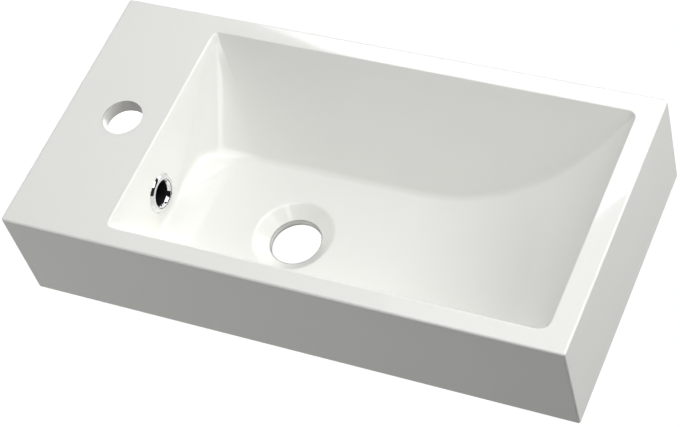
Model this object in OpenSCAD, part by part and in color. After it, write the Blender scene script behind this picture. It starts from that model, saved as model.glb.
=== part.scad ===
// Wall-hung hand basin: a tap deck on the left, and a rectangular bowl whose floor climbs to the right.
// Millimetres. X runs along the wall from the tap deck to the shallow end, Y from the front edge
// to the wall, and Z up. The origin is at the middle of the base.

/* [Outside] */
// Length of the basin along the wall
basin_l = 500; // [480:5:600]
// Depth of the basin from its front to the wall
basin_d = 250; // [240:5:300]
// Height of the basin
basin_h = 100; // [96:1:130]
// Radius of the upright outer corners
corner_r = 2; // [1:0.5:6]
// Thickness of the left, right and rear skirts
skirt_t = 9; // [7:0.5:12]
// Thickness of the front skirt, which is also the bowl's front wall
front_t = 14; // [13.5:0.5:17]
// Thickness of the tap deck and the rim
deck_t = 14; // [11:0.5:20]

/* [Bowl] */
// Width of the tap deck, from the left end to the bowl
deck_w = 95; // [92:1:110]
// Width of the rim at the right end
rim_right = 19.5; // [17:0.5:30]
// Width of the rim at the front
rim_front = 17.5; // [16.5:0.5:24]
// Width of the rim at the rear
rim_rear = 17.5; // [15:0.5:24]
// Depth of the bowl's floor below the rim
bowl_depth = 68.5; // [64:0.5:72]
// Thickness of the bowl's walls and floor
shell_t = 9; // [7:0.5:10]
// Lean of the left and front walls away from upright, in degrees
side_lean = 3.5; // [2:0.5:6]
// Lean of the rear wall away from upright, in degrees
rear_lean = 48; // [40:1:50]
// Length of the climbing part of the floor, up to the right rim
ramp_l = 168.5; // [150:0.5:180]
// Radius of the bowl's left corners at the rim
corner_left_r = 6; // [4:0.5:10]
// Radius of the bowl's right corners at the rim
corner_right_r = 9; // [5:0.5:12]
// Radius that the bowl's corners have grown to at the floor
corner_floor_r = 50; // [40:1:54]
// Radius between the bowl's walls and its floor
floor_r = 5; // [4:0.5:9.5]

/* [Waste] */
// Distance from the bowl's left edge to the middle of the waste
waste_from_left = 123; // [105:1:140]
// Distance from the bowl's front edge to the middle of the waste
waste_from_front = 71.5; // [60:0.5:80]
// Diameter of the waste hole
waste_hole_d = 44; // [42:0.5:48]
// Diameter of the dish round the waste hole
dish_d = 70; // [66:1:78]
// Depth of the dish
dish_depth = 9; // [5:0.5:10]
// Thickness of the seat that the waste is clamped to
waste_seat_t = 6.5; // [5:0.5:7]
// Diameter of the flat boss under the waste
waste_boss_d = 90; // [86:1:96]

/* [Tap hole] */
// Diameter of the tap hole
tap_hole_d = 35; // [32:0.5:36]
// Distance from the left end to the middle of the tap hole
tap_from_left = 55; // [50:1:60]

/* [Overflow] */
// Gap between the ring's flange and the round at the bowl's floor
overflow_clear = 0.5; // [0.5:0.5:5]
// Distance from the middle of the waste forward to the middle of the overflow
overflow_forward = 2; // [-4:0.5:4]
// Diameter of the hole through the bowl's wall
overflow_hole_d = 24.4; // [24:0.2:26]
// Outer diameter of the ring's flange
ring_d = 35; // [33:0.2:36]
// Height of the flange above the wall
ring_h = 2.6; // [2:0.2:4]
// Diameter of the opening through the ring
ring_bore_d = 20.8; // [20:0.2:21.4]
// Wall of the ring's sleeve
sleeve_t = 1.2; // [0.8:0.1:1.2]
// Clearance round the sleeve in every hole that it passes
sleeve_clear = 0.4; // [0.2:0.1:0.6]
// Number of spring fingers on the sleeve
fingers = 4; // [3:1:6]
// Width of the slots between the fingers
finger_slot_w = 4; // [2:0.5:5]
// Reach of the sleeve into the elbow
sleeve_grip = 7; // [5:0.5:9]
// Height of the bead on the fingers' ends
finger_bead = 0.6; // [0.3:0.1:0.8]
// Thickness of the gasket behind the wall
gasket_t = 2; // [1:0.5:3]
// Diameter of the gasket and of the elbow's flange
gasket_d = 34; // [33:0.5:38]
// Wall of the elbow
elbow_t = 2; // [1.8:0.1:3]
// Thickness of the elbow's flange
elbow_flange_t = 3; // [2:0.5:4]
// Length of the elbow's chamber behind its flange
elbow_l = 26; // [24:1:30]
// Outer diameter of the hose spigot
spigot_d = 20; // [18:0.5:22]
// Length of the hose spigot below its collar
spigot_l = 18; // [12:1:20]
// Height of the collar that the hose is pushed up to
collar_h = 1.5; // [1:0.1:1.6]

/* [Wall fixing] */
// Distance between the two bolt holes
fix_span = 280; // [200:10:300]
// Distance from the rim down to the bolt holes
fix_drop = 40; // [36:1:50]
// Diameter of the bolt holes
fix_hole_d = 12; // [10:0.5:14]
// Diameter of the pads round the bolt holes
fix_pad_d = 32; // [28:1:36]
// Thickness of the pads inside the rear skirt
fix_pad_t = 5; // [3:0.5:7]

/* [Hidden] */

// How far a cut runs past the surface that it opens
over = 2;
// Thickness of the slices that the bowl's form is drawn round
slice_t = 0.01;
// How far the climbing arc starts below the flat floor, so that the two cross cleanly
ramp_dip = 0.3;
// How far the bowl's upright right side stands behind the end of the climbing floor
ramp_margin = 2;
// Radius of the small round-overs on the ring
ring_edge_r = 0.8;

x_left = -basin_l / 2;
x_right = basin_l / 2;
y_front = -basin_d / 2;
y_rear = basin_d / 2;
bowl_x0 = x_left + deck_w;
bowl_x1 = x_right - rim_right;
bowl_y0 = y_front + rim_front;
bowl_y1 = y_rear - rim_rear;
floor_z = basin_h - bowl_depth;
ramp_rise = bowl_depth + ramp_dip;
ramp_r = (ramp_l * ramp_l + ramp_rise * ramp_rise) / (2 * ramp_rise);
waste_x = bowl_x0 + waste_from_left;
waste_y = bowl_y0 + waste_from_front;
waste_z = floor_z - dish_depth;
boss_z = waste_z - waste_seat_t;
tap_x = x_left + tap_from_left;
overflow_z = floor_z + floor_r + overflow_clear + ring_d / 2;
overflow_x = bowl_x0 + (basin_h - overflow_z) * tan(side_lean);
overflow_y = waste_y - overflow_forward;
sleeve_r = ring_bore_d / 2 + sleeve_t;
elbow_mouth = -shell_t - gasket_t;
elbow_bore_r = sleeve_r + sleeve_clear;
elbow_r = elbow_bore_r + finger_bead + elbow_t;
spigot_at = elbow_mouth - elbow_l + elbow_t + spigot_d / 2;
fix_z = basin_h - fix_drop;

// Planes of the bowl's walls, at a depth below the rim and grown outwards by a thickness
function left_at(depth, grow) = bowl_x0 + depth * tan(side_lean) - grow / cos(side_lean);
function right_at(grow) = bowl_x1 + ramp_margin + grow;
function front_at(depth, grow) = bowl_y0 + depth * tan(side_lean) - grow / cos(side_lean);
function rear_at(depth, grow) = bowl_y1 - depth * tan(rear_lean) + grow / cos(rear_lean);

// Four thin discs at the bowl's corners, at one depth; inset draws them in for the floor's round
module corner_discs(depth, grow, left_r, right_r, inset = 0) {
    xl = left_at(depth, grow) + left_r;
    xr = right_at(grow) - right_r;
    yf = front_at(depth, grow);
    yr = rear_at(depth, grow);
    translate([0, 0, basin_h - depth]) {
        for (corner = [[xl, yf + left_r, left_r], [xl, yr - left_r, left_r],
                       [xr, yf + right_r, right_r], [xr, yr - right_r, right_r]]) {
            translate([corner[0], corner[1], 0]) cylinder(h = slice_t, r = corner[2] - inset, $fn = 32);
        }
    }
}

// The bowl's four walls with their growing corners, rounded into a flat floor
module bowl_walls(top_depth, grow) {
    bottom = bowl_depth + grow;
    round_r = floor_r + grow;
    big_r = corner_floor_r + grow;
    hull() {
        corner_discs(top_depth, grow, corner_left_r + grow, corner_right_r + grow);
        for (turn = [0:22.5:90]) {
            corner_discs(bottom - round_r * (1 - cos(turn)), grow, big_r, big_r, round_r * (1 - sin(turn)));
        }
    }
}

// Everything above the climbing floor, as a long prism along Y
module above_ramp(grow) {
    ramp_x0 = bowl_x1 - ramp_l;
    rotate([90, 0, 0]) linear_extrude(height = 2 * basin_d, center = true) {
        translate([x_left, floor_z - grow - over]) square([ramp_x0 - x_left, basin_h]);
        translate([ramp_x0, floor_z - ramp_dip + ramp_r]) circle(r = ramp_r + grow, $fn = 240);
    }
}

module bowl_form(top_depth, grow) {
    intersection() {
        bowl_walls(top_depth, grow);
        above_ramp(grow);
    }
}

// A rectangle with round corners, made of plain squares and circles
module rounded_plate(size, r, height) {
    linear_extrude(height = height) {
        square([size[0] - 2 * r, size[1]], center = true);
        square([size[0], size[1] - 2 * r], center = true);
        for (sx = [-1, 1], sy = [-1, 1]) {
            translate([sx * (size[0] / 2 - r), sy * (size[1] / 2 - r)]) circle(r = r, $fn = 32);
        }
    }
}

// The open space under the deck and round the bowl
module underside() {
    translate([x_left + skirt_t, y_front + front_t, -over])
        cube([basin_l - 2 * skirt_t, basin_d - front_t - skirt_t, basin_h - deck_t + over]);
}

// Places its children on the bowl's left wall at the overflow, with +Z out of the wall and +X down it
module at_overflow() {
    translate([overflow_x, overflow_y, overflow_z]) rotate([0, 90 - side_lean, 0]) children();
}

// Places its children at both bolt holes, with +Z towards the wall
module at_fixings() {
    for (side = [-1, 1]) {
        translate([side * fix_span / 2, y_rear, fix_z]) rotate([-90, 0, 0]) children();
    }
}

// The cast body: deck, rim, skirts, bowl, waste seat and bolt pads in one piece
module basin_body() {
    color([0.95, 0.95, 0.94]) difference() {
        union() {
            difference() {
                rounded_plate([basin_l, basin_d], corner_r, basin_h);
                underside();
            }
            bowl_form(over, shell_t);
            translate([waste_x, waste_y, boss_z]) cylinder(h = floor_z - boss_z - over, d = waste_boss_d, $fn = 96);
            at_fixings() translate([0, 0, -skirt_t - fix_pad_t])
                cylinder(h = fix_pad_t + skirt_t / 2, d = fix_pad_d, $fn = 48);
        }
        bowl_form(-over, 0);
        waste_cut();
        translate([tap_x, 0, basin_h - deck_t - over])
            cylinder(h = deck_t + 2 * over, d = tap_hole_d, $fn = 96);
        at_overflow() translate([0, 0, -shell_t - over])
            cylinder(h = shell_t + 2 * over, d = overflow_hole_d, $fn = 64);
        at_fixings() translate([0, 0, -skirt_t - fix_pad_t - over])
            cylinder(h = skirt_t + fix_pad_t + 2 * over, d = fix_hole_d, $fn = 48);
    }
}

// The dish in the floor and the hole through its seat
module waste_cut() {
    slope = (dish_d - waste_hole_d) / 2 / dish_depth;
    translate([waste_x, waste_y, waste_z])
        cylinder(h = dish_depth + over, d1 = waste_hole_d, d2 = dish_d + 2 * over * slope, $fn = 96);
    translate([waste_x, waste_y, boss_z - over])
        cylinder(h = waste_seat_t + 2 * over, d = waste_hole_d, $fn = 96);
}

// Half section of the ring: a domed flange with a bevelled mouth, and the sleeve behind it
module ring_section() {
    mouth_r = ring_bore_d / 2;
    lip_r = (mouth_r + ring_d / 2) / 2 - ring_edge_r;
    sleeve_end = -shell_t - gasket_t - sleeve_grip;
    polygon([[mouth_r, 0], [ring_d / 2, 0], [ring_d / 2, ring_h - 2 * ring_edge_r],
             [ring_d / 2 - ring_edge_r, ring_h - ring_edge_r], [lip_r, ring_h],
             [mouth_r + ring_edge_r, ring_h - ring_edge_r], [mouth_r, ring_h - 2 * ring_edge_r]]);
    translate([mouth_r, sleeve_end]) square([sleeve_t, ring_edge_r - sleeve_end]);
    polygon([[sleeve_r, sleeve_end], [sleeve_r + finger_bead, sleeve_end + 2 * finger_bead],
             [sleeve_r, sleeve_end + 4 * finger_bead]]);
}

// Chromed ring whose sleeve is slotted into spring fingers
module overflow_ring() {
    slot_l = shell_t + gasket_t + sleeve_grip;
    color([0.78, 0.8, 0.82]) at_overflow() difference() {
        rotate_extrude($fn = 96) ring_section();
        for (finger = [0:fingers - 1]) {
            rotate([0, 0, (finger + 0.5) * 360 / fingers]) translate([0, -finger_slot_w / 2, -slot_l - over])
                cube([sleeve_r + finger_bead + over, finger_slot_w, slot_l + over - ring_edge_r]);
        }
    }
}

// Soft washer between the back of the wall and the elbow's flange
module overflow_gasket() {
    color([0.12, 0.12, 0.13]) at_overflow() translate([0, 0, elbow_mouth]) difference() {
        cylinder(h = gasket_t, d = gasket_d, $fn = 72);
        translate([0, 0, -over]) cylinder(h = gasket_t + 2 * over, r = elbow_bore_r, $fn = 72);
    }
}

// Moulded elbow that the fingers snap into, with a collared spigot for the hose down to the waste
module overflow_elbow() {
    bead_z = elbow_mouth - sleeve_grip + 2 * finger_bead;
    color([0.1, 0.1, 0.11]) at_overflow() difference() {
        union() {
            translate([0, 0, elbow_mouth - elbow_flange_t]) cylinder(h = elbow_flange_t, d = gasket_d, $fn = 72);
            translate([0, 0, elbow_mouth - elbow_l]) cylinder(h = elbow_l, r = elbow_r, $fn = 72);
            translate([0, 0, spigot_at]) rotate([0, 90, 0]) {
                cylinder(h = gasket_d / 2, d = spigot_d + 2 * collar_h, $fn = 64);
                cylinder(h = gasket_d / 2 + spigot_l, d = spigot_d, $fn = 64);
            }
        }
        translate([0, 0, elbow_mouth - elbow_l + elbow_t]) cylinder(h = elbow_l, r = elbow_bore_r, $fn = 72);
        translate([0, 0, bead_z]) rotate_extrude($fn = 72) bead_groove();
        translate([0, 0, spigot_at]) rotate([0, 90, 0])
            cylinder(h = gasket_d / 2 + spigot_l + over, d = spigot_d - 2 * elbow_t, $fn = 64);
    }
}

// Half section of the groove that the fingers' bead sits in
module bead_groove() {
    half = 2 * finger_bead + sleeve_clear;
    polygon([[elbow_bore_r - over, -half - over], [elbow_bore_r, -half], [elbow_bore_r + finger_bead, 0],
             [elbow_bore_r, half], [elbow_bore_r - over, half + over]]);
}

basin_body();
overflow_ring();
overflow_gasket();
overflow_elbow();
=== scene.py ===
import math

import bmesh
import bpy
import numpy as np
from mathutils import Matrix, Vector


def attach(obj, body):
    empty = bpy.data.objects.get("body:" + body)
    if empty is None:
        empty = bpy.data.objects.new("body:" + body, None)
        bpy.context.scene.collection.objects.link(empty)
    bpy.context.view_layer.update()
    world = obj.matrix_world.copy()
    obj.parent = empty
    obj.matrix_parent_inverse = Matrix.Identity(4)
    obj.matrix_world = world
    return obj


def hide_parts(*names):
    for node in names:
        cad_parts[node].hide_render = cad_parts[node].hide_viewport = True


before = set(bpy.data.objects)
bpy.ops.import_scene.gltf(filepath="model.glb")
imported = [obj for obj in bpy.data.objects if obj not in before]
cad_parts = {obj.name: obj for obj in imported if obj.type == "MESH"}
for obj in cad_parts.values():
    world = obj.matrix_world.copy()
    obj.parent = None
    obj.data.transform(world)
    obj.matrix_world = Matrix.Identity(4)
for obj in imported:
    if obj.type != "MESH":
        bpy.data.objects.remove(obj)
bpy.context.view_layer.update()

# A wall-hung hand basin. Lengths are in millimetres and angles in degrees, where nothing else is said.
MM = 0.001

# Driving sizes, the same as the solids'
LENGTH, DEPTH, RIM_Z = 500.0, 250.0, 100.0
CORNER_R = 2.0
SKIRT_T, FRONT_T, DECK_T, SHELL_T = 9.0, 14.0, 14.0, 9.0
DECK_W, RIM_RIGHT, RIM_FRONT, RIM_REAR = 95.0, 19.5, 17.5, 17.5
BOWL_DEPTH, RAMP_L, FLOOR_FILLET = 68.5, 168.5, 5.0
SIDE_LEAN, REAR_LEAN = 3.5, 48.0
WASTE_FROM_LEFT, WASTE_FROM_FRONT = 123.0, 71.5
WASTE_R, SEAT_T, BOSS_R = 22.0, 6.5, 45.0
DISH_R, DISH_DEPTH = 35.0, 9.0
TAP_FROM_LEFT, TAP_R = 55.0, 17.5
FIX_SPAN, FIX_DROP, FIX_R = 280.0, 40.0, 6.0
FIX_PAD_R, FIX_PAD_T = 16.0, 5.0
OVERFLOW_HOLE_R, OVERFLOW_FORWARD, OVERFLOW_CLEAR = 12.2, 2.0, 0.5
RING_R, RING_H, RING_BORE_R = 17.5, 2.6, 10.4
SLEEVE_R, SLEEVE_GRIP = 11.6, 7.0
FINGERS, FINGER_SLOT_W, FINGER_BEAD = 4, 4.0, 0.6
GASKET_T = 2.0

# Places that follow from them
BOWL_X0, BOWL_X1 = -LENGTH / 2 + DECK_W, LENGTH / 2 - RIM_RIGHT
BOWL_Y0, BOWL_Y1 = -DEPTH / 2 + RIM_FRONT, DEPTH / 2 - RIM_REAR
FLOOR_Z = RIM_Z - BOWL_DEPTH
RAMP_X0 = BOWL_X1 - RAMP_L
RAMP_R = (RAMP_L ** 2 + BOWL_DEPTH ** 2) / (2 * BOWL_DEPTH)
SIDE_SLOPE, REAR_SLOPE = math.tan(math.radians(SIDE_LEAN)), math.tan(math.radians(REAR_LEAN))
WASTE_X, WASTE_Y, WASTE_Z = BOWL_X0 + WASTE_FROM_LEFT, BOWL_Y0 + WASTE_FROM_FRONT, FLOOR_Z - DISH_DEPTH
BOSS_Z = WASTE_Z - SEAT_T
TAP_X = -LENGTH / 2 + TAP_FROM_LEFT
FIX_X, FIX_Z = FIX_SPAN / 2, RIM_Z - FIX_DROP
OVERFLOW_Y, OVERFLOW_Z = WASTE_Y - OVERFLOW_FORWARD, FLOOR_Z + FLOOR_FILLET + OVERFLOW_CLEAR + RING_R
HOLLOW_X, HOLLOW_Y0, HOLLOW_Y1 = LENGTH / 2 - SKIRT_T, -DEPTH / 2 + FRONT_T, DEPTH / 2 - SKIRT_T
GASKET_BACK = -SHELL_T - GASKET_T
SLEEVE_END = GASKET_BACK - SLEEVE_GRIP

# Radii of the bowl's corners at the rim, and how much each grows for every millimetre of depth
LEFT_CORNER_R, LEFT_CORNER_GROWTH = 4.0, 0.75
REAR_RIGHT_R, FRONT_RIGHT_R, RIGHT_CORNER_GROWTH = 8.0, 10.0, 0.45

# Rounds of the bowl's rim and of the casting's outside
RIM_ROUND = 2.0
EDGE_ROUND = 1.7
BASE_ROUND = 0.5
# The fillet at the bowl's floor along the rear wall, what the rear corners add to it, and where the ramp ends
CREASE_FILLET = 2.4
CORNER_FILLET = 9.0
RAMP_END_FILLET = 0.5
# Rounds in the hollow below
HOLLOW_ROUND = 5.0
HOLLOW_CREASE = 4.0
BOSS_ROUND, BOSS_FILLET = 1.5, 5.0
# Edges of the holes: the lower ones of waste and tap, the tap's upper one, and the overflow's and the bolts'
LOWER_ROUND = 0.8
TAP_ROUND = 0.5
HOLE_ROUND = 0.6
# How many degrees short of level a rounded edge ends against the flat face next to it
SHORT_OF_LEVEL, RIM_SHORT_OF_LEVEL = 5.0, 4.5
# Distance from the waste's middle at which the dish's soft step has met the floor
DISH_SOFT_R = 40.0

# The notch in the ring's mouth, by its angle from straight down the wall
NOTCH_ANGLE, NOTCH_W = 37.0, 4.6

# Order of the materials on the casting, and on the ring. The casting's third is painted shade along the
# holes' edges
GLAZED, BARE, PAINTED_EDGE_SHADE = 0, 1, 2
CHROME, BLACK = 0, 1

# Fineness of the two large cutters: points along the left, rear, right and front sides, points round each
# corner, rows down the walls, and how many millimetres of a wall one radian of bend counts for
BOWL_SIDES, BOWL_TURNS, BOWL_ROWS, BOWL_BEND = (64, 120, 60, 100), 14, 110, 40.0
HOLLOW_SIDES, HOLLOW_TURNS, HOLLOW_ROWS, HOLLOW_BEND = (44, 90, 44, 90), 9, 76, 25.0
# Steps round the turned shapes
TAP_STEPS, OVERFLOW_STEPS, BOLT_STEPS, RING_STEPS, FLOOR_STEPS = 128, 96, 48, 144, 64

# Distance over which the slope of a field is measured
PROBE = 0.02
# Radius of the first ring of a large cutter, round the waste's middle
AXIS_R = 0.2


def new_object(name, verts, faces, materials=(), indices=None):
    """A mesh object from points in millimetres, with its faces turned outwards."""
    mesh = bpy.data.meshes.new(name)
    mesh.from_pydata([tuple(v) for v in np.asarray(verts) * MM], [], faces)
    for finish in materials:
        mesh.materials.append(finish)
    if indices is not None:
        mesh.polygons.foreach_set("material_index", indices)
    work = bmesh.new()
    work.from_mesh(mesh)
    bmesh.ops.recalc_face_normals(work, faces=work.faces)
    work.to_mesh(mesh)
    work.free()
    obj = bpy.data.objects.new(name, mesh)
    bpy.context.scene.collection.objects.link(obj)
    return obj


def ring_stack(rings, closed=False):
    """Vertices and quads between rings of equal length, capped at both ends or closed on themselves."""
    rings = np.asarray(rings)
    count, around = rings.shape[:2]
    row = np.arange(count if closed else count - 1)[:, None]
    start, end = row * around, (row + 1) % count * around
    here = np.arange(around)[None, :]
    there = (here + 1) % around
    quads = np.stack([start + here, start + there, end + there, end + here], -1)
    faces = quads.reshape(-1, 4).tolist()
    if not closed:
        faces.append(list(range(around)))
        faces.append(list(range((count - 1) * around, count * around)))
    return rings.reshape(-1, 3), faces


def turned(profile, around):
    """Rings round the Z axis, one for each (radius, height) of a profile."""
    turn = np.arange(around) * 2 * math.pi / around
    profile = np.asarray(profile)
    rings = np.zeros((len(profile), around, 3))
    rings[:, :, 0] = profile[:, :1] * np.cos(turn)
    rings[:, :, 1] = profile[:, :1] * np.sin(turn)
    rings[:, :, 2] = profile[:, 1:]
    return rings


def placed(points, place):
    """Points carried along by the rotation and the offset of a place."""
    return points @ np.array(place.to_3x3()).T + np.array(place.translation)


def lathe(name, profile, around, place, materials, indices=None):
    """A closed solid of revolution. Its profile runs from one end of the axis to the other."""
    verts, faces = ring_stack(turned(profile, around))
    return new_object(name, placed(verts, place), faces, materials, indices)


def arc(cx, cy, r, start, end, count):
    """Points on an arc."""
    turn = np.radians(np.linspace(start, end, count))
    return [(cx + r * math.cos(t), cy + r * math.sin(t)) for t in turn]


def mouth(radius, face, out, round_r):
    """Profile of a cutter where it leaves a flat face, up (out = 1) or down (-1), with a rounded edge."""
    brim, brim_rise, over = 0.5, 0.05, 2.0
    points = []
    for t in np.radians(np.linspace(180, 90 + SHORT_OF_LEVEL, 6)):
        points.append((radius + round_r + round_r * math.cos(t), face - out * round_r * (1 - math.sin(t))))
    last_r, last_z = points[-1]
    points.append((last_r + brim, last_z + out * brim_rise))
    points.append((last_r + brim, face + out * over))
    return points


def through_cutter(radius, low, high, low_round, high_round):
    """Profile of a hole with rounded edges between two flat faces."""
    bottom = mouth(radius, low, -1, low_round)[::-1]
    return bottom + mouth(radius, high, 1, high_round)


def combine(target, tool, operation):
    """Applies one boolean and removes the tool."""
    step = target.modifiers.new(operation, "BOOLEAN")
    step.operation = operation
    step.solver = "MANIFOLD"
    step.object = tool
    graph = bpy.context.evaluated_depsgraph_get()
    graph.update()
    mesh = bpy.data.meshes.new_from_object(target.evaluated_get(graph), depsgraph=graph)
    target.modifiers.remove(step)
    old = target.data
    target.data = mesh
    bpy.data.meshes.remove(old)
    tool_mesh = tool.data
    bpy.data.objects.remove(tool)
    bpy.data.meshes.remove(tool_mesh)


def smooth(obj, crease_angle):
    """Welds stray points, and shades smoothly with sharp creases and with flat faces kept flat."""
    weld = 0.01
    work = bmesh.new()
    work.from_mesh(obj.data)
    bmesh.ops.remove_doubles(work, verts=work.verts, dist=weld * MM)
    work.to_mesh(obj.data)
    work.free()
    obj.data.shade_smooth()
    obj.data.set_sharp_from_angle(angle=math.radians(crease_angle))
    weighted = obj.modifiers.new("even shading", "WEIGHTED_NORMAL")
    weighted.keep_sharp = True
    weighted.weight = 80


def meet(a, b, r):
    """Where both fields are negative, with the crease between them rounded."""
    return np.minimum(-r, np.maximum(a, b)) + np.hypot(np.maximum(a + r, 0), np.maximum(b + r, 0))


def join(a, b, r):
    """Where either field is negative, with the crease between them filled."""
    return np.maximum(r, np.minimum(a, b)) - np.hypot(np.maximum(r - a, 0), np.maximum(r - b, 0))


def smooth_step(t):
    """Rises smoothly from 0 to 1."""
    t = np.clip(t, 0, 1)
    return t * t * (3 - 2 * t)


def left_corner_r(depth):
    """Radius of the bowl's left corners, which open out like cones towards the floor."""
    least = 1.0
    return np.maximum(LEFT_CORNER_R + LEFT_CORNER_GROWTH * depth, least)


def right_corner_r(depth, is_rear):
    """Radius of the bowl's right corners."""
    return np.where(is_rear, REAR_RIGHT_R, FRONT_RIGHT_R) + RIGHT_CORNER_GROWTH * np.maximum(depth, 0)


def outline_field(x, y, z):
    """Distance in plan from the bowl's outline at that height, negative inside."""
    depth = RIM_Z - z
    left = BOWL_X0 + depth * SIDE_SLOPE
    front = BOWL_Y0 + depth * SIDE_SLOPE
    rear = BOWL_Y1 - depth * REAR_SLOPE
    cx, hx = (left + BOWL_X1) / 2, (BOWL_X1 - left) / 2
    cy, hy = (front + rear) / 2, (rear - front) / 2
    r = np.where(x < cx, left_corner_r(depth), right_corner_r(depth, y > cy))
    qx = np.abs(x - cx) - hx + r
    qy = np.abs(y - cy) - hy + r
    return np.minimum(np.maximum(qx, qy), 0) + np.hypot(np.maximum(qx, 0), np.maximum(qy, 0)) - r


def wall_field(x, y, z):
    """Distance from the bowl's leaning walls."""
    least_slope = 0.5
    value = outline_field(x, y, z)
    gx = (outline_field(x + PROBE, y, z) - value) / PROBE
    gy = (outline_field(x, y + PROBE, z) - value) / PROBE
    gz = (outline_field(x, y, z + PROBE) - value) / PROBE
    return value / np.maximum(np.sqrt(gx * gx + gy * gy + gz * gz), least_slope)


def floor_field(x, z):
    """Distance from the flat floor and from the arc that climbs to the right rim."""
    climb = np.hypot(x - RAMP_X0, z - FLOOR_Z - RAMP_R) - RAMP_R
    return np.where(x < RAMP_X0, FLOOR_Z - z, climb)


def bowl_field(x, y, z):
    """Negative inside the bowl. The fillet at its floor is tighter along the rear wall, fuller in the rear
    corners, and fades to almost nothing before the right rim."""
    rear_from, rear_span = 0.2, 0.7
    fade_from, fade_length = 4.0, 30.0
    across = (outline_field(x, y + PROBE, z) - outline_field(x, y - PROBE, z)) / (2 * PROBE)
    fillet = FLOOR_FILLET + (CREASE_FILLET - FLOOR_FILLET) * smooth_step((across - rear_from) / rear_span)
    turning = np.clip(across, 0, 1)
    fillet = fillet + CORNER_FILLET * 4 * turning * (1 - turning)
    fade = smooth_step((BOWL_X1 - x - fade_from) / fade_length)
    fillet = RAMP_END_FILLET + (fillet - RAMP_END_FILLET) * fade
    return meet(wall_field(x, y, z), floor_field(x, z), fillet)


def hollow_field(x, y, z):
    """Negative in the open space under the deck and round the bowl."""
    shell = bowl_field(x, y, z) - SHELL_T
    boss = meet(np.hypot(x - WASTE_X, y - WASTE_Y) - BOSS_R, BOSS_Z - z, BOSS_ROUND)
    r = HOLLOW_ROUND
    qx = np.abs(x) - HOLLOW_X + r
    qy = np.abs(y - (HOLLOW_Y0 + HOLLOW_Y1) / 2) - (HOLLOW_Y1 - HOLLOW_Y0) / 2 + r
    qz = z - (RIM_Z - DECK_T) + r
    inside = np.minimum(np.maximum(np.maximum(qx, qy), qz), 0)
    outside = np.sqrt(np.maximum(qx, 0) ** 2 + np.maximum(qy, 0) ** 2 + np.maximum(qz, 0) ** 2)
    return meet(inside + outside - r, -join(shell, boss, BOSS_FILLET), HOLLOW_CREASE)


def rounded_outline(x0, x1, y0, y1, radii, sides, turns):
    """Points and outward normals round a rectangle with round corners, seen from above from the front end of
    its left side and clockwise. Radii: rear left, rear right, front right, front left corner.
    Sides: how many steps the left, rear, right and front side take. Turns: points round each corner."""
    rl, rr, fr, fl = radii
    corners = [((x0 + rl, y1 - rl), rl, 180), ((x1 - rr, y1 - rr), rr, 90),
               ((x1 - fr, y0 + fr), fr, 0), ((x0 + fl, y0 + fl), fl, -90)]
    points, normals = [], []
    previous = (x0, y0 + fl)
    for (centre, r, start), side in zip(corners, sides):
        turn = np.radians(np.linspace(start, start - 90, turns))
        curve = np.stack([centre[0] + r * np.cos(turn), centre[1] + r * np.sin(turn)], -1)
        along = np.linspace(0, 1, side + 1)[1:-1, None]
        straight = np.asarray(previous) + along * (curve[0] - np.asarray(previous))
        direction = np.array([math.cos(turn[0]), math.sin(turn[0])])
        points += [straight, curve]
        normals += [np.repeat(direction[None], len(straight), 0), np.stack([np.cos(turn), np.sin(turn)], -1)]
        previous = curve[-1]
    return np.concatenate(points), np.concatenate(normals)


def bearings(points):
    """Cosine and sine of the direction from the waste to each point."""
    angle = np.arctan2(points[:, 1] - WASTE_Y, points[:, 0] - WASTE_X)
    return np.cos(angle), np.sin(angle)


def trace(field, cos, sin, start_r, start_z, finished, step):
    """Follows field = 0 outwards in the upright plane of each bearing, for all bearings at once.
    Gives a column of points for each, as (distance from the waste, height)."""
    most_steps, corrections = 1500, 2

    def at(s, z):
        return field(WASTE_X + s * cos, WASTE_Y + s * sin, z)

    def slope(s, z):
        ds = (at(s + PROBE, z) - at(s - PROBE, z)) / (2 * PROBE)
        dz = (at(s, z + PROBE) - at(s, z - PROBE)) / (2 * PROBE)
        return ds, dz

    s, z = np.full(len(cos), start_r), np.full(len(cos), start_z)
    heading = np.array([np.ones_like(s), np.zeros_like(s)])
    track = [(s, z)]
    done = np.zeros(len(s), dtype=bool)
    for _ in range(most_steps):
        ds, dz = slope(s, z)
        along = np.array([-dz, ds]) / np.hypot(ds, dz)
        along *= np.where((along * heading).sum(0) < 0, -1, 1)
        heading = along
        s, z = s + step * along[0], z + step * along[1]
        for _ in range(corrections):
            ds, dz = slope(s, z)
            back = at(s, z) / (ds * ds + dz * dz)
            s, z = s - back * ds, z - back * dz
        track.append((s, z))
        done |= finished(s, z)
        if done.all():
            break
    track = np.array(track)
    columns = []
    for j in range(track.shape[2]):
        path = track[:, :, j]
        last = int(np.argmax(finished(path[:, 0], path[:, 1])))
        columns.append(path[:last + 1])
    return columns


def resample(path, count, bend_weight):
    """Count points along a path, closer together where it bends."""
    delta = np.diff(path, axis=0)
    length = np.hypot(delta[:, 0], delta[:, 1])
    angle = np.unwrap(np.arctan2(delta[:, 1], delta[:, 0]))
    bend = np.zeros(len(length))
    bend[1:] += np.abs(np.diff(angle)) / 2
    bend[:-1] += np.abs(np.diff(angle)) / 2
    measure = np.concatenate([[0], np.cumsum(length + bend_weight * bend)])
    wanted = np.linspace(0, measure[-1], count)
    return np.stack([np.interp(wanted, measure, path[:, 0]), np.interp(wanted, measure, path[:, 1])], -1)


def cut_to_height(path, height):
    """The path with its last point moved back to exactly that height."""
    (s0, z0), (s1, z1) = path[-2], path[-1]
    t = (height - z0) / (z1 - z0)
    path = path.copy()
    path[-1] = (s0 + t * (s1 - s0), height)
    return path


def flat_rings(profile, cos, sin):
    """Level circular rings round the waste from (radius, height) pairs."""
    rings = [np.stack([WASTE_X + r * cos, WASTE_Y + r * sin, np.full_like(cos, z)], -1) for r, z in profile]
    return np.array(rings)


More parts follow.
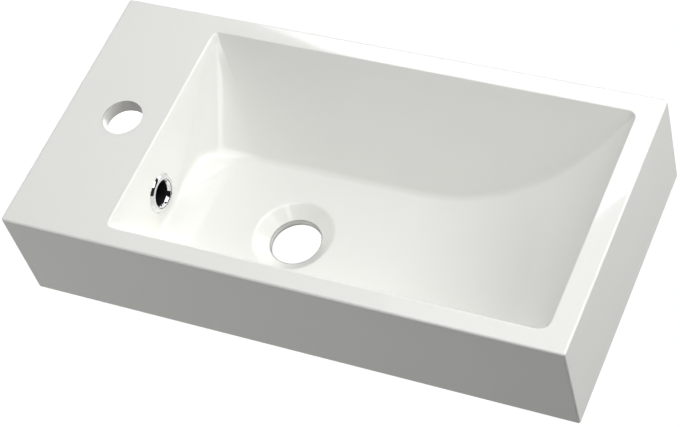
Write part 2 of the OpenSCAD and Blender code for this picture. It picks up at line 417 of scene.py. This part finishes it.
def wall_rings(columns, cos, sin):
    """Rings through columns of equally many points."""
    s, z = np.array(columns).transpose(2, 1, 0)
    return np.stack([WASTE_X + s * cos, WASTE_Y + s * sin, z], -1)


def brim_rings(last, normal, width, heights):
    """Two rings that take a cutter out past its last ring, and then up or down clear of the casting."""
    rings = []
    for height in heights:
        ring = last.copy()
        ring[:, :2] += width * normal
        ring[:, 2] = height
        rings.append(ring)
    return rings


def wall_inset(edge, normal, drop):
    """How far inside each point of the rim's edge the bowl's wall stands at a drop below it, by bisection."""
    deepest_inset, halvings = 14.0, 40
    near, far = np.zeros(len(edge)), np.full(len(edge), deepest_inset)
    for _ in range(halvings):
        middle = (near + far) / 2
        x, y = (edge - middle[:, None] * normal).T
        outside = bowl_field(x, y, np.full_like(x, RIM_Z - drop)) > 0
        near, far = np.where(outside, middle, near), np.where(outside, far, middle)
    return near


def waste_profile():
    """Profile of the waste hole and the dish, from below the hole to the bowl's floor, and its rows of
    painted shade.
    The dish is a soft step down from the floor, a cone, and a narrow flat land round the hole, darkened with
    painted shade."""
    land, lip_r, foot_r, step_r = 0.25, 0.5, 0.8, 6.0
    shade_band, below, last_gap = 2.2, 10.0, 0.5
    land_r = WASTE_R + lip_r + land
    cone = math.degrees(math.atan2(FLOOR_Z - WASTE_Z, DISH_R - land_r))
    half = math.tan(math.radians(cone / 2))
    profile = [(AXIS_R, BOSS_Z - below)]
    profile += mouth(WASTE_R, BOSS_Z, -1, LOWER_ROUND)[::-1]
    profile.append((WASTE_R, BOSS_Z + shade_band))
    wall_row = len(profile) - 1
    profile.append((WASTE_R, (BOSS_Z + WASTE_Z) / 2))
    lip_row = len(profile)
    profile += arc(WASTE_R + lip_r, WASTE_Z - lip_r, lip_r, 180, 90, 6)
    profile += arc(land_r - foot_r * half, WASTE_Z + foot_r, foot_r, -90, cone - 90, 4)
    cone_row = len(profile) - 1
    profile += arc(DISH_R + step_r * half, FLOOR_Z - step_r, step_r, 90 + cone, 90, 8)
    profile = [(radius, height) for radius, height in profile if radius < DISH_SOFT_R - last_gap]
    return profile, [range(wall_row), range(lip_row, cone_row)]


def rim_rings(edge, normal, inset, drop):
    """The rim's rounded inner edge, drawn square to the rim and ending just short of level."""
    last_turn = math.radians(90 + RIM_SHORT_OF_LEVEL)
    brim, brim_rise, over = 0.6, 0.047, 3.0
    lean = np.arctan2(inset, drop)
    tangent = RIM_ROUND * np.tan((math.pi / 2 - lean) / 2)
    rings = []
    for t in np.linspace(0, 1, 8):
        turn = (math.pi - lean) + t * (last_turn - (math.pi - lean))
        out = tangent + RIM_ROUND * np.cos(turn)
        up = RIM_ROUND * (np.sin(turn) - 1)
        rings.append(np.column_stack([edge + out[:, None] * normal, RIM_Z + up]))
    last = rings[-1]
    return rings + brim_rings(last, normal, brim, (last[:, 2] + brim_rise, RIM_Z + over))


def bowl_cutter(materials):
    """The bowl, the dish and the waste hole, as one solid to cut out of the casting."""
    rim_drop, step = 3.0, 0.8
    left_r = left_corner_r(0.0)
    edge, normal = rounded_outline(BOWL_X0, BOWL_X1, BOWL_Y0, BOWL_Y1,
                                   (left_r, REAR_RIGHT_R, FRONT_RIGHT_R, left_r), BOWL_SIDES, BOWL_TURNS)
    inset = wall_inset(edge, normal, rim_drop)
    cos, sin = bearings(edge - inset[:, None] * normal)
    columns = trace(bowl_field, cos, sin, DISH_SOFT_R, FLOOR_Z, lambda s, z: z >= RIM_Z - rim_drop, step)
    columns = [resample(cut_to_height(path, RIM_Z - rim_drop), BOWL_ROWS, BOWL_BEND) for path in columns]
    profile, painted_shade_rows = waste_profile()
    rings = np.concatenate([flat_rings(profile, cos, sin), wall_rings(columns, cos, sin),
                            rim_rings(edge, normal, inset, rim_drop)])
    verts, faces = ring_stack(rings)
    indices = np.full(len(faces), GLAZED)
    around = len(edge)
    # The waste hole is glazed between its lower edge and its lip, which are both painted dark as shade along
    # the hole's edges
    for rows in painted_shade_rows:
        indices[rows.start * around:rows.stop * around] = PAINTED_EDGE_SHADE
    return new_object("bowl_cutter", verts, faces, materials, indices)


def hollow_cutter(materials):
    """The open space below, as one solid to cut out of the casting."""
    start_r, step, last_slack, past_boss = 30.0, 1.0, 0.4, 5.0
    brim, brim_z, below_z = 0.5, -0.04, -3.0
    edge, normal = rounded_outline(-HOLLOW_X, HOLLOW_X, HOLLOW_Y0, HOLLOW_Y1, (HOLLOW_ROUND,) * 4,
                                   HOLLOW_SIDES, HOLLOW_TURNS)
    cos, sin = bearings(edge)
    columns = trace(hollow_field, cos, sin, start_r, BOSS_Z,
                    lambda s, z: (z <= BASE_ROUND + last_slack) & (s > BOSS_R + past_boss), step)
    columns = [resample(path, HOLLOW_ROWS, HOLLOW_BEND) for path in columns]
    walls = wall_rings(columns, cos, sin)
    walls[-1, :, :2] = edge
    walls[-1, :, 2] = BASE_ROUND
    low = flat_rings([(AXIS_R, BOSS_Z), (start_r / 2, BOSS_Z)], cos, sin)
    rim = []
    # The first of these angles is the walls' last ring
    for turn in np.radians(np.linspace(180, 270 - SHORT_OF_LEVEL, 6))[1:]:
        out = BASE_ROUND + BASE_ROUND * math.cos(turn)
        height = np.full(len(edge), BASE_ROUND + BASE_ROUND * math.sin(turn))
        rim.append(np.column_stack([edge + out * normal, height]))
    rim += brim_rings(rim[-1], normal, brim, (brim_z, below_z))
    verts, faces = ring_stack(np.concatenate([low, walls, rim]))
    return new_object("hollow_cutter", verts, faces, materials, [BARE] * len(faces))


def outer_block(materials):
    """The casting's outside, with its rounded edges."""
    rings, straight_sides, corner_turns = [], (1,) * 4, 9

    def add_ring(inset, z):
        x, y = LENGTH / 2 - inset, DEPTH / 2 - inset
        points, _ = rounded_outline(-x, x, -y, y, (CORNER_R - inset,) * 4, straight_sides, corner_turns)
        rings.append(np.column_stack([points, np.full(len(points), z)]))

    for turn in np.radians(np.linspace(-90, 0, 6)):
        add_ring(BASE_ROUND * (1 - math.cos(turn)), BASE_ROUND * (1 + math.sin(turn)))
    for turn in np.radians(np.linspace(0, 90, 8)):
        add_ring(EDGE_ROUND * (1 - math.cos(turn)), RIM_Z - EDGE_ROUND * (1 - math.sin(turn)))
    verts, faces = ring_stack(rings)
    return new_object("basin_casting", verts, faces, materials)


def overflow_place():
    """The overflow's place: its Z out of the bowl's left wall and its X down that wall."""
    lean = math.radians(SIDE_LEAN)
    down = Vector((math.sin(lean), 0, -math.cos(lean)))
    out = Vector((math.cos(lean), 0, math.sin(lean)))
    turn = Matrix((down, Vector((0, 1, 0)), out)).transposed()
    wall_x = BOWL_X0 + (RIM_Z - OVERFLOW_Z) * SIDE_SLOPE
    return Matrix.Translation((wall_x, OVERFLOW_Y, OVERFLOW_Z)) @ turn.to_4x4()


def fixing_place(side, y):
    """The place of a wall bolt, left (side = -1) or right (1), with its Z towards the wall."""
    return Matrix.Translation((side * FIX_X, y, FIX_Z)) @ Matrix.Rotation(math.radians(-90), 4, "X")


def fixing_pad(side, materials):
    """The pad round a bolt hole inside the rear skirt, with a rounded edge and a fillet at its foot."""
    edge_r, foot_r, root, into_skirt, pinhole = 1, 1.5, 1.3, 3.0, 0.1
    profile = [(pinhole, -FIX_PAD_T)] + arc(FIX_PAD_R - edge_r, edge_r - FIX_PAD_T, edge_r, -90, 0, 5)
    profile += [(FIX_PAD_R, -foot_r)] + arc(FIX_PAD_R + foot_r, -foot_r, foot_r, 180, 90 + SHORT_OF_LEVEL, 5)
    profile += [(FIX_PAD_R + root, into_skirt), (pinhole, into_skirt)]
    faces = (len(profile) - 1) * BOLT_STEPS + 2
    place = fixing_place(side, DEPTH / 2 - SKIRT_T)
    return lathe("pad", profile, BOLT_STEPS, place, materials, [BARE] * faces)


def tap_cutter(materials):
    """The tap hole, with a bare wall between rounded edges painted dark as shade."""
    profile = through_cutter(TAP_R, RIM_Z - DECK_T, RIM_Z, LOWER_ROUND, TAP_ROUND)
    # Both rounded edges carry painted shade, the straight wall between them is bare casting
    rows = np.full(len(profile) - 1, PAINTED_EDGE_SHADE)
    rows[len(rows) // 2] = BARE
    indices = np.append(np.repeat(rows, TAP_STEPS), (PAINTED_EDGE_SHADE, PAINTED_EDGE_SHADE))
    return lathe("tap_cutter", profile, TAP_STEPS, Matrix.Translation((TAP_X, 0, 0)), materials, indices)


def overflow_cutter(materials):
    """The overflow's hole through the bowl's left wall, glazed."""
    profile = through_cutter(OVERFLOW_HOLE_R, -SHELL_T, 0, HOLE_ROUND, HOLE_ROUND)
    return lathe("overflow_cutter", profile, OVERFLOW_STEPS, overflow_place(), materials)


def bolt_cutter(side, materials):
    """A wall bolt's hole through the rear skirt and its pad, glazed."""
    profile = through_cutter(FIX_R, -SKIRT_T - FIX_PAD_T, 0, HOLE_ROUND, HOLE_ROUND)
    return lathe("bolt_cutter", profile, BOLT_STEPS, fixing_place(side, DEPTH / 2), materials)


def casting(materials):
    """The cast body in one piece. Its materials are the glaze, the bare casting and painted shade along the
    holes' edges.
    """
    body = outer_block(materials)
    combine(body, hollow_cutter(materials), "DIFFERENCE")
    for side in (-1, 1):
        combine(body, fixing_pad(side, materials), "UNION")
    combine(body, bowl_cutter(materials), "DIFFERENCE")
    combine(body, tap_cutter(materials), "DIFFERENCE")
    combine(body, overflow_cutter(materials), "DIFFERENCE")
    for side in (-1, 1):
        combine(body, bolt_cutter(side, materials), "DIFFERENCE")
    smooth(body, crease_angle=42)
    return body


def ring_profile():
    """The ring's closed outline, up the sleeve, over the flange and down the bore, and its black rows."""
    bead = FINGER_BEAD
    sleeve = [(RING_BORE_R, SLEEVE_END), (SLEEVE_R, SLEEVE_END), (SLEEVE_R + bead, SLEEVE_END + 2 * bead),
              (SLEEVE_R, SLEEVE_END + 4 * bead), (SLEEVE_R, 0.0)]
    # The flange's foot, its cone, its rounded shoulder, its flat top and its inner edge
    flange = [(RING_R - 0.4, 0.0), (RING_R - 0.1, 0.06), (RING_R, 0.2), (RING_R - 0.06, 0.38),
              (RING_R - 1.45, 2.1), (RING_R - 1.75, 2.36), (RING_R - 2.15, 2.52), (RING_R - 2.7, RING_H),
              (RING_R - 4.2, RING_H), (RING_R - 4.45, RING_H - 0.12), (RING_R - 4.6, RING_H - 0.35)]
    joint = [(RING_R - 4.62, RING_H - 1.0), (RING_R - 4.95, RING_H - 1.0)]
    bevel = [(RING_R - 5.0, RING_H - 0.55), (RING_R - 5.2, RING_H - 0.6), (RING_R - 5.6, RING_H - 1.05),
             (RING_R - 6.05, RING_H - 1.7), (RING_R - 6.5, RING_H - 2.4), (RING_R - 6.85, RING_H - 3.0),
             (RING_BORE_R, RING_H - 3.7)]
    profile = sleeve + flange + joint + bevel
    joint_row = len(sleeve) + len(flange)
    bore_row = len(profile) - 1
    return profile, (joint_row - 1, joint_row, joint_row + 1, bore_row)


def cut_box(ring, angle, radial, width, heights, materials):
    """Cuts a black-walled box out of the ring, between two distances from its axis and two heights."""
    corners = [[x, y, z] for x in radial for y in (-width / 2, width / 2) for z in heights]
    local = np.array(corners) @ np.array(Matrix.Rotation(math.radians(angle), 3, "Z")).T
    faces = [(0, 1, 3, 2), (4, 6, 7, 5), (0, 4, 5, 1), (2, 3, 7, 6), (0, 2, 6, 4), (1, 5, 7, 3)]
    tool = new_object("slot_cutter", placed(local, overflow_place()), faces, materials, [BLACK] * len(faces))
    combine(ring, tool, "DIFFERENCE")


def overflow_ring(materials):
    """Domed flange with a dark joint round its bevelled mouth, and a sleeve slotted into spring fingers."""
    profile, black_rows = ring_profile()
    verts, faces = ring_stack(turned(profile, RING_STEPS), closed=True)
    rows = np.full(len(profile), CHROME)
    rows[list(black_rows)] = BLACK
    ring = new_object("overflow_ring_polished", placed(verts, overflow_place()), faces, materials,
                      np.repeat(rows, RING_STEPS))
    # The slots run from the sleeve's end into the gasket's depth
    slot_radial = (RING_BORE_R - 2.0, SLEEVE_R + 1.5)
    slot_heights = (SLEEVE_END - 1.0, GASKET_BACK + 1.0)
    for finger in range(FINGERS):
        angle = NOTCH_ANGLE + 360 / FINGERS * finger
        cut_box(ring, angle, slot_radial, FINGER_SLOT_W, slot_heights, materials)
    # The notch: a deep cut through the bevel's foot and a shallow one further out
    for outwards, bottom in ((0.9, -1.6), (1.7, 0.15)):
        notch_radial = (RING_BORE_R - 1.5, RING_BORE_R + outwards)
        cut_box(ring, NOTCH_ANGLE, notch_radial, NOTCH_W, (bottom, RING_H + 1.0), materials)
    smooth(ring, crease_angle=35)
    return ring


def material(name, values):
    """A new node material with values set on its shader's own sockets."""
    made = bpy.data.materials.new(name)
    made.use_nodes = True
    shader = made.node_tree.nodes["Principled BSDF"]
    for socket, value in values.items():
        shader.inputs[socket].default_value = value
    return made


def noise(tree, scale, detail):
    """Noise in the object's own coordinates, in metres."""
    place = tree.nodes.new("ShaderNodeTexCoord")
    node = tree.nodes.new("ShaderNodeTexNoise")
    node.inputs["Scale"].default_value = scale
    node.inputs["Detail"].default_value = detail
    tree.links.new(place.outputs["Object"], node.inputs["Vector"])
    return node.outputs["Fac"]


def ramp(tree, source, low, high):
    """Two colours spread over the range in which most of a noise lies."""
    spread = (0.35, 0.65)
    node = tree.nodes.new("ShaderNodeValToRGB")
    for element, position, colour in zip(node.color_ramp.elements, spread, (low, high)):
        element.position = position
        element.color = (*colour, 1)
    tree.links.new(source, node.inputs["Fac"])
    return node.outputs["Color"]


def bump(tree, source, strength, distance):
    """A bump from a value, with its height in metres."""
    node = tree.nodes.new("ShaderNodeBump")
    node.inputs["Strength"].default_value = strength
    node.inputs["Distance"].default_value = distance
    tree.links.new(source, node.inputs["Height"])
    return node.outputs["Normal"]


def grained_material(name, colour, roughness, relief, values=None):
    """A material whose colour, roughness and relief each follow a noise of their own. Colour and roughness:
    the noise's scale and detail, and its two ends. Relief: scale, detail, strength and height in metres."""
    made = material(name, values or {})
    tree = made.node_tree
    shader = tree.nodes["Principled BSDF"]
    scale, detail, low, high = colour
    tint = ramp(tree, noise(tree, scale, detail), low, high)
    tree.links.new(tint, shader.inputs["Base Color"])
    scale, detail, low, high = roughness
    grey = ramp(tree, noise(tree, scale, detail), (low,) * 3, (high,) * 3)
    tree.links.new(grey, shader.inputs["Roughness"])
    scale, detail, strength, height = relief
    grain = bump(tree, noise(tree, scale, detail), strength, height)
    tree.links.new(grain, shader.inputs["Normal"])
    return made


def glaze_material():
    return grained_material("white_glaze", (9.0, 3.0, (0.850, 0.850, 0.818), (0.862, 0.862, 0.832)),
                            (60.0, 4.0, 0.02, 0.045), (22.0, 2.0, 0.06, 0.0006), {"IOR": 1.52})


def bare_material():
    return grained_material("bare_casting", (40.0, 6.0, (0.66, 0.655, 0.635), (0.74, 0.735, 0.72)),
                            (300.0, 5.0, 0.5, 0.72), (900.0, 6.0, 0.4, 0.0004))


def edge_shade_material():
    # Painted shade: a dark grey that stands for the shade along the edges of the tap and waste holes
    return grained_material("painted_edge_shade", (150.0, 5.0, (0.38, 0.375, 0.36), (0.47, 0.465, 0.45)),
                            (500.0, 5.0, 0.4, 0.6), (1200.0, 6.0, 0.3, 0.0002))


def chrome_material():
    return grained_material("polished_chrome", (120.0, 3.0, (0.80, 0.81, 0.83), (0.86, 0.87, 0.88)),
                            (700.0, 5.0, 0.03, 0.09), (180.0, 2.0, 0.05, 0.0002), {"Metallic": 1.0})


def rubber_material():
    return grained_material("black_rubber", (250.0, 4.0, (0.018, 0.018, 0.02), (0.035, 0.035, 0.038)),
                            (500.0, 4.0, 0.62, 0.82), (1500.0, 3.0, 0.3, 0.0002))


def plastic_material():
    return grained_material("moulded_black", (90.0, 4.0, (0.008, 0.008, 0.009), (0.018, 0.018, 0.020)),
                            (400.0, 4.0, 0.5, 0.65), (2200.0, 3.0, 0.25, 0.00015),
                            {"Specular IOR Level": 0.25})


def aim(obj, place, forward, up):
    """Puts a camera or light at a place, looking forward."""
    forward = Vector(forward).normalized()
    right = forward.cross(Vector(up)).normalized()
    turn = Matrix((right, right.cross(forward), -forward)).transposed()
    obj.matrix_world = Matrix.Translation(Vector(place) * MM) @ turn.to_4x4()


def photo_camera():
    """The photograph's view: from the front right and above, with a long lens."""
    place = (663.99, -837.77, 1379.66)
    forward, up = (-0.3874, 0.4847, -0.7842), (-0.201, 0.7857, 0.5849)
    lens = bpy.data.cameras.new("photo_camera")
    lens.lens = 107.957
    lens.sensor_width = 36.0
    lens.sensor_fit = "HORIZONTAL"
    camera = bpy.data.objects.new("photo_camera", lens)
    bpy.context.scene.collection.objects.link(camera)
    aim(camera, place, forward, up)
    bpy.context.scene.camera = camera


def pale_floor():
    """A white studio floor that curves up far away. It glows, takes no shadow and lights nothing else."""
    profile = [(500, -2400), (9000, -2400), (14000, -1700), (17000, 1000), (17500, 9000)]
    verts, faces = ring_stack(turned(profile, FLOOR_STEPS))
    floor = new_object("studio_floor", verts, faces[:-1])
    floor.data.materials.append(material("studio_white", {
        "Base Color": (0, 0, 0, 1),
        "Roughness": 1.0,
        "Emission Color": (1, 1, 1, 1),
        "Emission Strength": 1.02,
    }))
    for ray in ("diffuse", "glossy", "transmission", "shadow", "volume_scatter"):
        setattr(floor, "visible_" + ray, False)


def panel(name, place, forward, up, size, radiance):
    """An oblong area light of a given size in metres and brightness, which isn't itself in the picture."""
    light = bpy.data.lights.new(name, "AREA")
    light.shape = "RECTANGLE"
    light.size, light.size_y = size
    light.energy = radiance * math.pi * size[0] * size[1]
    lamp = bpy.data.objects.new(name, light)
    lamp.visible_camera = False
    bpy.context.scene.collection.objects.link(lamp)
    aim(lamp, place, forward, up)
    return lamp


def softbox(name, azimuth, elevation, size, radiance):
    """A panel that faces the basin from an angle, at the same distance in metres as all the others."""
    distance, target, steep = 2.2, (0, 0, 60), 75
    turn, rise = math.radians(azimuth), math.radians(elevation)
    direction = Vector((math.cos(rise) * math.cos(turn), math.cos(rise) * math.sin(turn), math.sin(rise)))
    up = (0, 0, 1) if abs(elevation) < steep else (0, 1, 0)
    return panel(name, Vector(target) + direction * distance / MM, -direction, up, size, radiance)


def studio_light():
    """Large soft panels: the key from the right and the rear, fill from the other sides, and the ceiling."""
    world = bpy.data.worlds.new("studio")
    bpy.context.scene.world = world
    world.use_nodes = True
    background = world.node_tree.nodes["Background"]
    background.inputs["Color"].default_value = (1, 1, 1, 1)
    background.inputs["Strength"].default_value = 0.03
    softbox("high_right", 14, 63, (1.2, 0.9), 1.6)
    softbox("high_rear_right", 56, 63, (1.2, 0.9), 2.0)
    softbox("high_rear", 98, 63, (1.2, 0.9), 0.75)
    key = softbox("key_right", 14, 20, (1.7, 1.1), 3.8)
    # Flagged off, so that the glaze and the chrome don't mirror its bright panel
    key.visible_glossy = False
    softbox("key_rear_right", 56, 20, (1.7, 1.1), 1.7)
    softbox("middle_rear", 98, 41, (1.6, 0.7), 0.8)
    softbox("low_rear_right", 56, -4, (1.7, 0.9), 1.0)
    softbox("top_front", 270, 72, (1.4, 1.2), 2.3)
    softbox("top_right", 45, 78, (1.5, 1.3), 1.8)
    softbox("fill_front_left", 242, 34, (1.5, 0.7), 0.2)
    softbox("fill_front", 236, -16, (1.7, 1.3), 2.85)
    softbox("fill_right", 35, -24, (2.2, 1.1), 2.2)
    softbox("fill_left", 180, -22, (1.6, 1.3), 0.41)
    softbox("fill_below", 0, -88, (1.8, 1.8), 0.25)
    # Under the deck, so that the inside of the skirt shows white through the tap hole
    panel("under_deck", (-200, 95, 20), (-0.55, -0.83, 0.0), (0, 0, 1), (0.05, 0.03), 40.0)
    panel("ceiling_rear", (-770, 1479, 1904), (0, 0, -1), (0.165, 0.986, 0), (0.91, 0.152), 4.5)
    panel("ceiling_right", (-385, 1306, 1904), (0, 0, -1), (-0.874, 0.485, 0), (0.3, 0.14), 4.5)


photo_camera()
chrome, moulded = chrome_material(), plastic_material()

body = casting((glaze_material(), bare_material(), edge_shade_material()))
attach(body, "root")
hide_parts("basin_body")

ring = overflow_ring((chrome, moulded))
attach(ring, "root")
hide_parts("overflow_ring")

for node, finish in (("overflow_gasket", rubber_material()), ("overflow_elbow", moulded)):
    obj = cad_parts[node]
    obj.data.materials.clear()
    obj.data.materials.append(finish)

pale_floor()
studio_light()
bpy.context.scene.view_settings.view_transform = "Standard"
